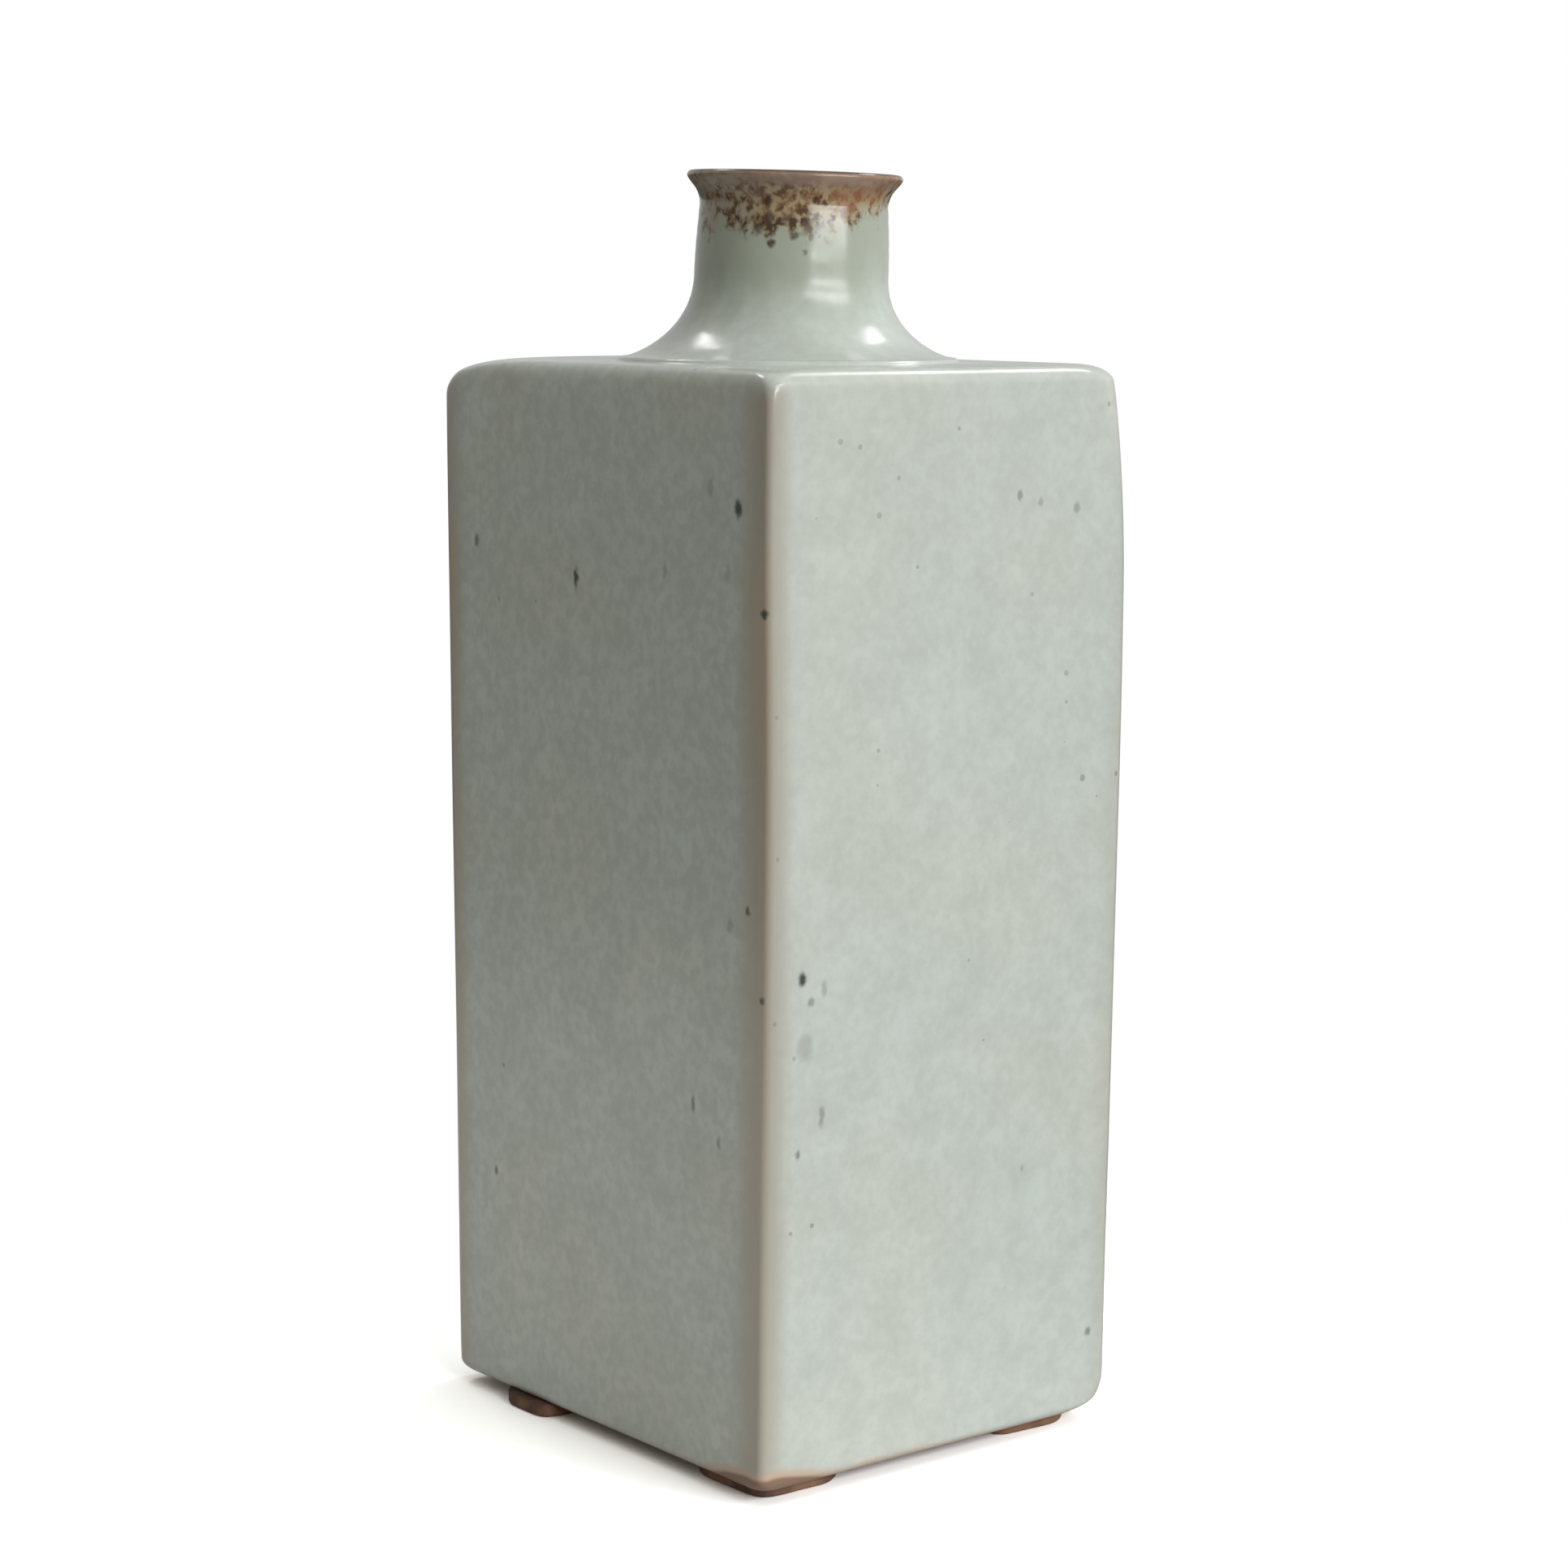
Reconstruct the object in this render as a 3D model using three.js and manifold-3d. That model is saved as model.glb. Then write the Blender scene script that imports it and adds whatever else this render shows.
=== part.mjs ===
// A slab-built stoneware bottle vase, in millimetres with +Z up.
// Four mitred wall slabs stand on a base slab and carry a shoulder slab, a thrown neck is luted
// over the hole in the shoulder, four pad feet sit under the corners, and rolls of soft clay
// fill the inside of every seam. The origin is on the floor, under the middle of the body.
import * as THREE from "three";
import { mergeVertices } from "three/addons/utils/BufferGeometryUtils.js";
import Module from "manifold-3d";

const wasm = await Module();
wasm.setup();

// Heights above the floor
const lipHeight = 200; // the middle of the lip's top
const shoulderHeight = 170.2; // the flat of the shoulder
const footHeight = 2.4; // the underside of the body

// The body's plan is oblong, and a little larger at the shoulder than at the base
const baseWidth = 71.8; // along X
const baseDepth = 81.9; // along Y
const widening = 0.4; // how much wider it is at the shoulder
const deepening = 4.6;
const baseRound = 1.5; // the edge between walls and underside
const shoulderRound = 2.2; // the edge between walls and shoulder

// Clay
const slab = 6; // thickness of the rolled slabs
const slip = 0.3; // the slip layer in each luted joint
const coil = 6; // legs of the fillet that a seam coil is pressed to

// The corners, each rubbed round by hand: the radius of its upright edge, how much wider that
// gets at the shoulder and at the underside, and how much it is drawn in over its upper part
const rubHeight = 6; // how far the rubbing reaches down from the shoulder or up from the underside
const drawnInHeight = 36; // how far below the shoulder an upright edge starts to draw in
const corners = [
  { name: "back_right", signs: [1, 1], arris: 2.8, shoulderRub: 4, baseRub: 1, drawnIn: 0 },
  { name: "back_left", signs: [-1, 1], arris: 2.8, shoulderRub: 17, baseRub: 1.5, drawnIn: 0 },
  { name: "front_left", signs: [-1, -1], arris: 1.3, shoulderRub: 3, baseRub: 1, drawnIn: 0 },
  { name: "front_right", signs: [1, -1], arris: 2.8, shoulderRub: 4, baseRub: 9, drawnIn: 6.5 },
];

// The thrown neck, luted on a little off the middle of the shoulder and leaning a little
const neckX = 0.8;
const neckY = -0.6;
const leanX = 0.8; // how far the lip stands off the neck's own foot
const leanY = -0.6;
const lipDip = 0.4; // how far the lip lies low on the side the neck leans to, and high on the other
const boreRadius = 11.6;
const neckFootRadius = 26.5; // where its flare dies into the shoulder
const neckFootEdge = 0.4; // thickness of the flare's rim
const flareHeight = 13.6; // from the shoulder to the top of the flare
const waistRadius = 15.1; // outside, at the top of the flare
const throatRadius = 14.6; // outside, under the lip
const lipRadius = 16.9;
const lipThickness = 1.3;
const lipFlareHeight = 5; // height of the outward turn below the lip

// The feet, pressed on by eye in the order of the corners: each one's distances from the planes
// of its right or left wall and its front or back wall, and its width and depth, in foot sizes
const footSize = 17.6;
const footCorner = 4; // plan radius of a foot's corners
const footRound = 0.7; // the worn edge round the foot's underside
const feet = [
  { insetX: 0.23, insetY: 0.28, across: 1, deep: 1 },
  { insetX: -0.01, insetY: 0.77, across: 0.97, deep: 0.8 },
  { insetX: 0.13, insetY: 0.1, across: 1.06, deep: 1.08 },
  { insetX: 0.19, insetY: 0.15, across: 0.98, deep: 1 },
];

// Facets
const arcSteps = 6; // steps in a quarter of a rounded edge
const neckSides = 48;
const curveSteps = 6; // steps in each curve of the neck's profile
const leastStep = 0.05; // sections of a slab lie no closer together

// Heights and limits that follow from those above
const floorTop = footHeight + slab;
const wallBottom = floorTop + slip;
const shoulderUnder = shoulderHeight - slab;
const wallTop = shoulderUnder - slip;
const coilBottom = floorTop + slip;
const postBottom = coilBottom + coil + slip;
const neckSeat = shoulderHeight + slip;
const rub = Math.min(rubHeight, slab);
const quarter = Math.PI / 2;

const glaze = { color: 0xb4b9b0, roughness: 0.35, metalness: 0 };
const bareClay = { color: 0x6b4030, roughness: 0.85, metalness: 0 };
const innerClay = { color: 0x9a8f80, roughness: 0.8, metalness: 0 };

// How far a quarter-round edge of this radius stands back, at a distance from the face it rounds into
function standBack(distance, radius) {
  if (distance >= radius) return 0;
  const rise = radius - distance;
  return radius - Math.sqrt(radius * radius - rise * rise);
}

// How far the body stands back at a height, where its lower and upper edges are rounded
function edgeStandBack(z) {
  return Math.max(standBack(z - footHeight, baseRound), standBack(shoulderHeight - z, shoulderRound));
}

// Half the body's width and depth at a height, before its lower and upper edges are rounded
function halfSizes(z) {
  const share = (z - footHeight) / (shoulderHeight - footHeight);
  return new THREE.Vector2(baseWidth + widening * share, baseDepth + deepening * share).divideScalar(2);
}

// The radius of a corner's upright edge at a height
function cornerRadius({ arris, shoulderRub, baseRub, drawnIn }, z) {
  const high = standBack(shoulderHeight - z, rub) / rub;
  const low = standBack(z - footHeight, rub) / rub;
  const draw = Math.max(0, 1 - (shoulderHeight - z) / drawnInHeight) ** 2;
  return arris + shoulderRub * high + baseRub * low + drawnIn * draw;
}

// The heights of the sections between two levels, close together where the edges are rounded
function levels(low, high) {
  const stops = [];
  for (let i = 0; i <= arcSteps; i += 1) {
    const bend = 1 - Math.cos((i / arcSteps) * quarter);
    stops.push(footHeight + baseRound * bend, footHeight + rub * bend);
    stops.push(shoulderHeight - shoulderRound * bend, shoulderHeight - rub * bend);
    stops.push(shoulderHeight - (drawnInHeight * i) / arcSteps);
  }
  const inner = stops.filter((z) => z > low + leastStep && z < high - leastStep).sort((a, b) => a - b);
  return [low, ...inner.filter((z, i) => i === 0 || z - inner[i - 1] > leastStep), high];
}

function arc(centre, radius, from, to, steps = arcSteps) {
  return Array.from({ length: steps + 1 }, (_, i) => {
    const angle = THREE.MathUtils.lerp(from, to, i / steps);
    return new THREE.Vector2(Math.cos(angle), Math.sin(angle)).multiplyScalar(radius).add(centre);
  });
}

// An oblong outline with round corners, counter-clockwise from the back right
function roundedOblong(half, radii) {
  return corners.flatMap(({ signs: [sx, sy] }, k) => {
    const radius = Math.min(radii[k], half.x, half.y);
    const centre = new THREE.Vector2(sx * (half.x - radius), sy * (half.y - radius));
    return arc(centre, radius, k * quarter, (k + 1) * quarter);
  });
}

// A closed solid through outlines of equal length, one at each height
function loft(heights, outlineAt) {
  const outlines = heights.map(outlineAt);
  const count = outlines[0].length;
  const positions = outlines.flatMap((outline, k) => outline.flatMap((p) => [p.x, p.y, heights[k]]));
  const index = [];
  for (let k = 0; k + 1 < heights.length; k += 1) {
    for (let i = 0; i < count; i += 1) {
      const [a, b] = [k * count + i, k * count + ((i + 1) % count)];
      index.push(a, b, b + count, a, b + count, a + count);
    }
  }
  const top = (heights.length - 1) * count;
  const [lowest, highest] = [outlines[0], outlines.at(-1)].map((outline) => {
    return THREE.ShapeUtils.triangulateShape(outline, []);
  });
  lowest.forEach(([a, b, c]) => index.push(a, c, b));
  highest.forEach(([a, b, c]) => index.push(top + a, top + b, top + c));
  const geometry = new THREE.BufferGeometry();
  geometry.setAttribute("position", new THREE.Float32BufferAttribute(positions, 3));
  geometry.setIndex(index);
  geometry.computeVertexNormals();
  return geometry;
}

function toSolid(geometry) {
  const bare = geometry.clone();
  bare.deleteAttribute("normal");
  bare.deleteAttribute("uv");
  const merged = mergeVertices(bare, 1e-4);
  const vertProperties = new Float32Array(merged.attributes.position.array);
  const triVerts = new Uint32Array(merged.index.array);
  return new wasm.Manifold(new wasm.Mesh({ numProp: 3, vertProperties, triVerts }));
}

function toGeometry(solid) {
  const mesh = solid.getMesh();
  const geometry = new THREE.BufferGeometry();
  geometry.setAttribute("position", new THREE.BufferAttribute(mesh.vertProperties, 3));
  geometry.setIndex(new THREE.BufferAttribute(mesh.triVerts, 1));
  geometry.computeVertexNormals();
  return geometry;
}

// The body's outline at a height
function bodyOutline(z) {
  const back = edgeStandBack(z);
  const radii = corners.map((corner) => cornerRadius(corner, z) + back);
  return roundedOblong(halfSizes(z).subScalar(back), radii);
}

function baseSlab() {
  return loft(levels(footHeight, floorTop), bodyOutline);
}

// A wall as it stands on the -Y side, to be turned to its own side by that many quarter turns. Its
// upright ends are mitred at 45 degrees, half a slip layer short of the mitre.
function wallOutline(side, z) {
  const half = halfSizes(z);
  const [across, out] = side % 2 === 0 ? [half.x, half.y] : [half.y, half.x];
  const rightEnd = (corner) => {
    const radius = cornerRadius(corner, z);
    const centre = new THREE.Vector2(across - radius, radius - out);
    const lastAngle = Math.acos(slip / (2 * radius)) - Math.PI / 4 - quarter;
    const rim = arc(centre, radius, -quarter, lastAngle, arcSteps / 2);
    return [...rim, new THREE.Vector2(across - slab - slip / Math.SQRT2, slab - out)];
  };
  const right = rightEnd(corners[(side + 3) % 4]);
  const left = rightEnd(corners[(side + 2) % 4]).map((p) => new THREE.Vector2(-p.x, p.y));
  return [...right, ...left.reverse()];
}

function wallSlab(side) {
  return loft(levels(wallBottom, wallTop), (z) => wallOutline(side, z));
}

function shoulderSlab() {
  const plate = loft(levels(shoulderUnder, shoulderHeight), bodyOutline);
  const drill = new THREE.CylinderGeometry(boreRadius, boreRadius, 4 * slab, neckSides);
  drill.rotateX(quarter);
  drill.translate(neckX, neckY, shoulderHeight - slab / 2);
  return toGeometry(toSolid(plate).subtract(toSolid(drill)));
}

// The neck's wall in section, as radius and height above the floor
function neckProfile() {
  const flareTop = shoulderHeight + flareHeight;
  const lipStart = lipHeight - lipFlareHeight;
  const lipInner = lipRadius - lipThickness;
  const lipBead = lipThickness / 2;
  const flareReach = neckFootRadius - waistRadius;
  const shape = new THREE.Path();
  shape.moveTo(boreRadius, neckSeat);
  shape.lineTo(neckFootRadius, neckSeat);
  shape.lineTo(neckFootRadius, neckSeat + neckFootEdge);
  shape.bezierCurveTo(
    neckFootRadius - flareReach * 0.3, neckSeat + neckFootEdge,
    waistRadius, flareTop - flareHeight * 0.61,
    waistRadius, flareTop,
  );
  shape.bezierCurveTo(
    waistRadius, flareTop + (lipStart - flareTop) * 0.5,
    throatRadius, lipStart - (lipStart - flareTop) * 0.1,
    throatRadius, lipStart,
  );
  shape.bezierCurveTo(
    throatRadius, lipStart + lipFlareHeight * 0.35,
    lipRadius - lipBead * 0.5, lipHeight - lipBead - lipFlareHeight * 0.2,
    lipRadius, lipHeight - lipBead,
  );
  shape.absarc(lipRadius - lipBead, lipHeight - lipBead, lipBead, 0, Math.PI, false);
  shape.bezierCurveTo(
    lipInner, lipHeight - lipBead - lipFlareHeight * 0.3,
    boreRadius, lipStart + lipFlareHeight * 0.3,
    boreRadius, lipStart - lipFlareHeight * 0.5,
  );
  shape.closePath();
  return shape.getPoints(curveSteps);
}

// The neck, upright on its seat and leaning more and more towards its lip
function neck() {
  const lathe = new THREE.LatheGeometry(neckProfile(), neckSides);
  lathe.rotateX(quarter);
  const lean = new THREE.Vector2(leanX, leanY);
  const slope = lean.clone().setLength(lipDip / lipRadius);
  const places = lathe.attributes.position;
  for (let i = 0; i < places.count; i += 1) {
    const [x, y, z] = [places.getX(i), places.getY(i), places.getZ(i)];
    const share = (z - neckSeat) / (lipHeight - neckSeat);
    places.setXYZ(i, x + lean.x * share, y + lean.y * share, z - share * (x * slope.x + y * slope.y));
  }
  return toGeometry(toSolid(lathe));
}

// A foot, a low pad with round corners, centred on the origin in plan
function foot(width, depth) {
  const heights = [];
  for (let i = 0; i <= arcSteps; i += 1) {
    heights.push(footRound * (1 - Math.cos((i / arcSteps) * quarter)));
  }
  heights.push(footHeight - slip);
  return loft(heights, (z) => {
    const back = standBack(z, footRound);
    const half = new THREE.Vector2(width, depth).divideScalar(2).subScalar(back);
    return roundedOblong(half, corners.map(() => footCorner - back));
  });
}

// Half the clear space between the walls at a height, less the slip that beds a coil on them
function innerHalf(z) {
  return halfSizes(z).subScalar(slab + slip);
}

// The roll of clay in an upright inside corner, pressed to a hollow fillet
function seamPost(k) {
  const fillet = [new THREE.Vector2(), ...arc(new THREE.Vector2(-coil, -coil), coil, quarter, 0)];
  const turned = fillet.map((p) => p.rotateAround(new THREE.Vector2(), k * quarter));
  const signs = new THREE.Vector2(...corners[k].signs);
  return loft(levels(postBottom, wallTop), (z) => {
    const corner = innerHalf(z).multiply(signs);
    return turned.map((p) => p.clone().add(corner));
  });
}

// The roll of clay round the inside of the base, pressed to the same hollow fillet
function seamRing() {
  const outer = loft([coilBottom, coilBottom + coil], (z) => {
    return roundedOblong(innerHalf(z), corners.map(() => coil / 4));
  });
  const heights = [coilBottom - slip];
  for (let i = 0; i <= arcSteps; i += 1) {
    heights.push(coilBottom + coil * (1 - Math.cos((i / arcSteps) * quarter)));
  }
  heights.push(coilBottom + coil + slip);
  const hollow = loft(heights, (z) => {
    const rise = THREE.MathUtils.clamp(z - coilBottom, 0, coil);
    const ledge = slip + standBack(rise, coil);
    return roundedOblong(innerHalf(z).subScalar(ledge), corners.map(() => coil));
  });
  return toGeometry(toSolid(outer).subtract(toSolid(hollow)));
}

const vase = new THREE.Group();

function add(name, geometry, finish, x = 0, y = 0, turn = 0) {
  const mesh = new THREE.Mesh(geometry, new THREE.MeshStandardMaterial(finish));
  mesh.name = name;
  mesh.position.set(x, y, 0);
  mesh.rotation.z = turn;
  vase.add(mesh);
}

add("base_slab", baseSlab(), bareClay);
["wall_front", "wall_right", "wall_back", "wall_left"].forEach((name, side) => {
  add(name, wallSlab(side), glaze, 0, 0, side * quarter);
});
add("shoulder_slab", shoulderSlab(), glaze);
add("neck", neck(), glaze, neckX, neckY);
add("base_seam_coil", seamRing(), innerClay);
const bodyFoot = halfSizes(footHeight);
corners.forEach(({ name, signs: [sx, sy] }, k) => {
  add(`seam_coil_${name}`, seamPost(k), innerClay);
  const { insetX, insetY, across, deep } = feet[k];
  const footX = sx * (bodyFoot.x - footSize * (insetX + across / 2));
  const footY = sy * (bodyFoot.y - footSize * (insetY + deep / 2));
  add(`foot_${name}`, foot(footSize * across, footSize * deep), bareClay, footX, footY);
});

export default vase;
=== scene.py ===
# The looks of a slab-built stoneware bottle vase: a tall body of mitred slabs under a pale
# celadon glaze, a thrown neck with an iron-brown lip, and bare clay feet.
# The script follows the vase as it is put together, from the view of it to the glaze that
# closes it. Sizes are in metres, and mm turns millimetres into them.
import math

import bmesh
import bpy
from mathutils import Matrix, Vector, noise


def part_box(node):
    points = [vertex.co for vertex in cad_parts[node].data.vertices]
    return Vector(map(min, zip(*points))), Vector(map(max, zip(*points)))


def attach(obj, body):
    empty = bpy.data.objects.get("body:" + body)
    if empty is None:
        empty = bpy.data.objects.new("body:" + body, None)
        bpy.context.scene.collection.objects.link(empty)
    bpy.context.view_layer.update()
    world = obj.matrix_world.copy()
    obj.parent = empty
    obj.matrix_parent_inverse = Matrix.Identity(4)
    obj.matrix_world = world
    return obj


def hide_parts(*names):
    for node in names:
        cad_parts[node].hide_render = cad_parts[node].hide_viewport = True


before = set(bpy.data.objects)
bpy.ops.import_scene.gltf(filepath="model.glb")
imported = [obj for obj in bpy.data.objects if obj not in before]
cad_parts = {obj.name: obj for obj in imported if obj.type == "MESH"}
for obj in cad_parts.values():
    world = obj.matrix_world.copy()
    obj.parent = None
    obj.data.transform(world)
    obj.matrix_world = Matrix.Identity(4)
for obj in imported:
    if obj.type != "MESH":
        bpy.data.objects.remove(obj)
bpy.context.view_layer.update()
mm = 0.001


# The view: the camera stands in front and to the left, level with the neck, and looks down a
# little, so that the left wall shows in shade and the front wall in light.
view_azimuth = math.radians(-38.33)
view_distance = 583.3 * mm
view_height = 185.0 * mm
view_pitch = math.radians(8.04)
view_turn = math.radians(-0.08)
view_roll = math.radians(0.35)
view_lens = 83.7

camera_data = bpy.data.cameras.new("view")
camera_data.sensor_width = 36.0
camera_data.lens = view_lens
camera = bpy.data.objects.new("view", camera_data)
bpy.context.scene.collection.objects.link(camera)
camera.matrix_world = (
    Matrix.Rotation(view_azimuth, 4, "Z")
    @ Matrix.Translation((0, -view_distance, view_height))
    @ Matrix.Rotation(view_turn, 4, "Z")
    @ Matrix.Rotation(math.pi / 2 - view_pitch, 4, "X")
    @ Matrix.Rotation(view_roll, 4, "Z")
)
bpy.context.scene.camera = camera
bpy.context.scene.view_settings.view_transform = "Standard"


# The stage: a white floor that keeps the vase's soft shadow and is lost in a white surround,
# two broad lamps in front, the lower of which shows as a window in the neck, and two small ones
# high up, on the right and behind.
white = (1, 1, 1)
table_colour = (0.79, 0.79, 0.79)
room_colour = (0.12, 0.12, 0.12)  # of the floor beyond the table, which only the vase sees
table_middle = (-0.15, 0.11, 0)
table_start = 0.13
table_end = 0.37
floor_gain = 2.2  # how much paler the floor shows than it lights the vase
floor_fade_start = 0.09
floor_fade_end = 0.2
surround_left = 0.2  # how brightly the surround lights the vase from the left
surround_right = 0.52  # and from the right
surround_overhead = 0.3  # and how much more from above
surround_near = 0.25  # what the glaze mirrors of the room on the viewer's side
surround_far = 0.55  # and of the white backdrop behind the vase
left_tint = (1, 0.97, 0.86)  # of the warmer light from the left
lamp_target = Vector((0, 0, 120 * mm))


def fill(tree, socket, value):
    """Links a socket to another, or sets its value."""
    if isinstance(value, bpy.types.NodeSocket):
        tree.links.new(value, socket)
    elif socket.type == "RGBA" and len(value) == 3:
        socket.default_value = (*value, 1)
    else:
        socket.default_value = value


def node(tree, kind, inputs=None, **settings):
    made = tree.nodes.new("ShaderNode" + kind)
    for name, value in settings.items():
        setattr(made, name, value)
    for name, value in (inputs or {}).items():
        fill(tree, made.inputs[name], value)
    return made


def calculate(tree, operation, *terms):
    made = node(tree, "Math", operation=operation)
    for socket, term in zip(made.inputs, terms):
        fill(tree, socket, term)
    return made.outputs[0]


def between(tree, value, low, high, to_low=0.0, to_high=1.0):
    """A smooth step from to_low to to_high as the value goes from low to high."""
    levels = {"Value": value, "From Min": low, "From Max": high, "To Min": to_low, "To Max": to_high}
    return node(tree, "MapRange", levels, interpolation_type="SMOOTHSTEP").outputs[0]


def blend(tree, share, first, second):
    made = node(tree, "Mix", data_type="RGBA")
    fill(tree, made.inputs[0], share)
    fill(tree, made.inputs[6], first)
    fill(tree, made.inputs[7], second)
    return made.outputs[2]


def measure(tree, operation, *terms):
    """A sum on vectors, which gives a number for a length, a distance or a dot product."""
    made = node(tree, "VectorMath", operation=operation)
    for socket, term in zip(made.inputs, terms):
        fill(tree, socket, term)
    gives_number = operation in ("LENGTH", "DISTANCE", "DOT_PRODUCT")
    return made.outputs["Value" if gives_number else "Vector"]


def new_material(name):
    material = bpy.data.materials.new(name)
    material.use_nodes = True
    material.node_tree.nodes.clear()
    return material


def add_mesh_object(name, bm, material):
    """A smooth-shaded object from a bmesh, in place in the frame."""
    mesh = bpy.data.meshes.new(name)
    bm.to_mesh(mesh)
    bm.free()
    mesh.shade_smooth()
    mesh.materials.append(material)
    made = bpy.data.objects.new(name, mesh)
    bpy.context.scene.collection.objects.link(made)
    return made


white_floor = new_material("white_floor")
tree = white_floor.node_tree
in_view = node(tree, "LightPath").outputs["Is Camera Ray"]
place = node(tree, "TexCoord").outputs["Object"]
off_table = between(tree, measure(tree, "DISTANCE", place, table_middle), table_start, table_end)
real_colour = blend(tree, off_table, table_colour, room_colour)
shown_colour = [channel * floor_gain for channel in table_colour]
lit = node(tree, "BsdfDiffuse", {"Color": blend(tree, in_view, real_colour, shown_colour)})
plain = node(tree, "Emission", {"Strength": 1.0})
far_away = between(tree, measure(tree, "LENGTH", place), floor_fade_start, floor_fade_end)
plain_share = calculate(tree, "MULTIPLY", in_view, far_away)
floor_shader = node(tree, "MixShader", {0: plain_share, 1: lit.outputs[0], 2: plain.outputs[0]})
node(tree, "OutputMaterial", {"Surface": floor_shader.outputs[0]})

floor_bm = bmesh.new()
bmesh.ops.create_grid(floor_bm, x_segments=1, y_segments=1, size=4.0)
floor = add_mesh_object("floor", floor_bm, white_floor)

# The surround is white to the view. It lights the vase more from the right and from above than
# from the left, and the glaze mirrors it brighter behind the vase than on the viewer's side
surround = bpy.data.worlds.new("surround")
surround.use_nodes = True
bpy.context.scene.world = surround
tree = surround.node_tree
tree.nodes.clear()
seen = node(tree, "LightPath")
direction = node(tree, "TexCoord").outputs["Generated"]
backdrop_way = (-math.sin(view_azimuth), math.cos(view_azimuth), 0)
behind = measure(tree, "DOT_PRODUCT", direction, backdrop_way)
mirrored = between(tree, behind, -0.2, 0.5, surround_near, surround_far)
way = node(tree, "SeparateXYZ", {0: direction})
sideways = between(tree, way.outputs["X"], -0.5, 1, surround_left, surround_right)
overhead = between(tree, way.outputs["Z"], 0.2, 1, 0, surround_overhead)
lighting = calculate(tree, "ADD", sideways, overhead)
mirrored_more = calculate(tree, "SUBTRACT", mirrored, lighting)
level = calculate(tree, "MULTIPLY_ADD", seen.outputs["Is Glossy Ray"], mirrored_more, lighting)
level = calculate(tree, "MAXIMUM", seen.outputs["Is Camera Ray"], level)
tint = blend(tree, between(tree, way.outputs["X"], -0.7, 0.2), left_tint, white)
tint = blend(tree, seen.outputs["Is Camera Ray"], tint, white)
light = node(tree, "Background", {"Color": tint, "Strength": level})
node(tree, "OutputWorld", {"Surface": light.outputs[0]})


def soft_lamp(name, azimuth, elevation, distance, width, height, power):
    """A rectangular lamp that faces the vase. Azimuth 0 is in front and 90 on the right."""
    data = bpy.data.lights.new(name, "AREA")
    data.shape = "RECTANGLE"
    data.size = width
    data.size_y = height
    data.energy = power
    lamp = bpy.data.objects.new(name, data)
    bpy.context.scene.collection.objects.link(lamp)
    turn, rise = math.radians(azimuth), math.radians(elevation)
    outward = math.cos(rise)
    away = Vector((math.sin(turn) * outward, -math.cos(turn) * outward, math.sin(rise)))
    aim = away.to_track_quat("Z", "Y").to_matrix().to_4x4()
    lamp.matrix_world = Matrix.Translation(away * distance + lamp_target) @ aim


soft_lamp("front_lamp", azimuth=7, elevation=26, distance=1.4, width=1.3, height=0.34, power=10.4)
soft_lamp("window_lamp", azimuth=6, elevation=9.5, distance=1.4, width=1.15, height=0.2, power=7.4)
soft_lamp("right_lamp", azimuth=92, elevation=48, distance=1.3, width=0.4, height=0.22, power=2.4)
soft_lamp("back_lamp", azimuth=178, elevation=50, distance=1.3, width=0.34, height=0.2, power=1.8)


# The base slab: the rolled floor of the body, of an iron-bearing clay that fires to a toasted
# brown where it is bare, as on its underside between the feet.
toasted_clay = (0.25, 0.13, 0.075)
dark_clay = (0.07, 0.035, 0.024)
grit_depth = 0.2 * mm


def mottling(tree, place, scale, detail, roughness=0.5):
    """A soft uneven pattern from 0 to 1, finer for a larger scale and crisper with more detail."""
    levels = {"Vector": place, "Scale": scale, "Detail": detail, "Roughness": roughness}
    return node(tree, "TexNoise", levels).outputs["Fac"]


def build_clay_grain():
    """Mottled shade and sandy grit, shared by every bare piece."""
    group = bpy.data.node_groups.new("clay_grain", "ShaderNodeTree")
    for name in ("Light", "Dark"):
        group.interface.new_socket(name, in_out="INPUT", socket_type="NodeSocketColor")
    for name, kind in (("Color", "Color"), ("Height", "Float")):
        group.interface.new_socket(name, in_out="OUTPUT", socket_type="NodeSocket" + kind)
    inlet = group.nodes.new("NodeGroupInput")
    outlet = group.nodes.new("NodeGroupOutput")
    light, dark = inlet.outputs["Light"], inlet.outputs["Dark"]
    place = node(group, "TexCoord").outputs["Object"]
    patches = mottling(group, place, 120, 4)
    grit = mottling(group, place, 1100, 3)
    sand = between(group, grit, 0.6, 0.72, 0, 0.35)
    shade = blend(group, between(group, patches, 0.35, 0.65), light, dark)
    fill(group, outlet.inputs["Color"], blend(group, sand, shade, dark))
    fill(group, outlet.inputs["Height"], grit)
    return group


clay_grain = build_clay_grain()


def clay_material(name, light, dark, roughness):
    material = new_material(name)
    tree = material.node_tree
    grain = tree.nodes.new("ShaderNodeGroup")
    grain.node_tree = clay_grain
    fill(tree, grain.inputs["Light"], light)
    fill(tree, grain.inputs["Dark"], dark)
    grit = {"Strength": 0.6, "Distance": grit_depth, "Height": grain.outputs["Height"]}
    bump = node(tree, "Bump", grit)
    surface = node(
        tree, "BsdfPrincipled",
        {"Base Color": grain.outputs["Color"], "Roughness": roughness, "Normal": bump.outputs[0]},
    )
    node(tree, "OutputMaterial", {"Surface": surface.outputs[0]})
    return material


def dress(name, material):
    """Gives a CAD piece its finish."""
    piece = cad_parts[name]
    piece.data.materials.clear()
    piece.data.materials.append(material)


bare_clay = clay_material("bare_clay", toasted_clay, dark_clay, roughness=0.8)
dress("base_slab", bare_clay)


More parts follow.
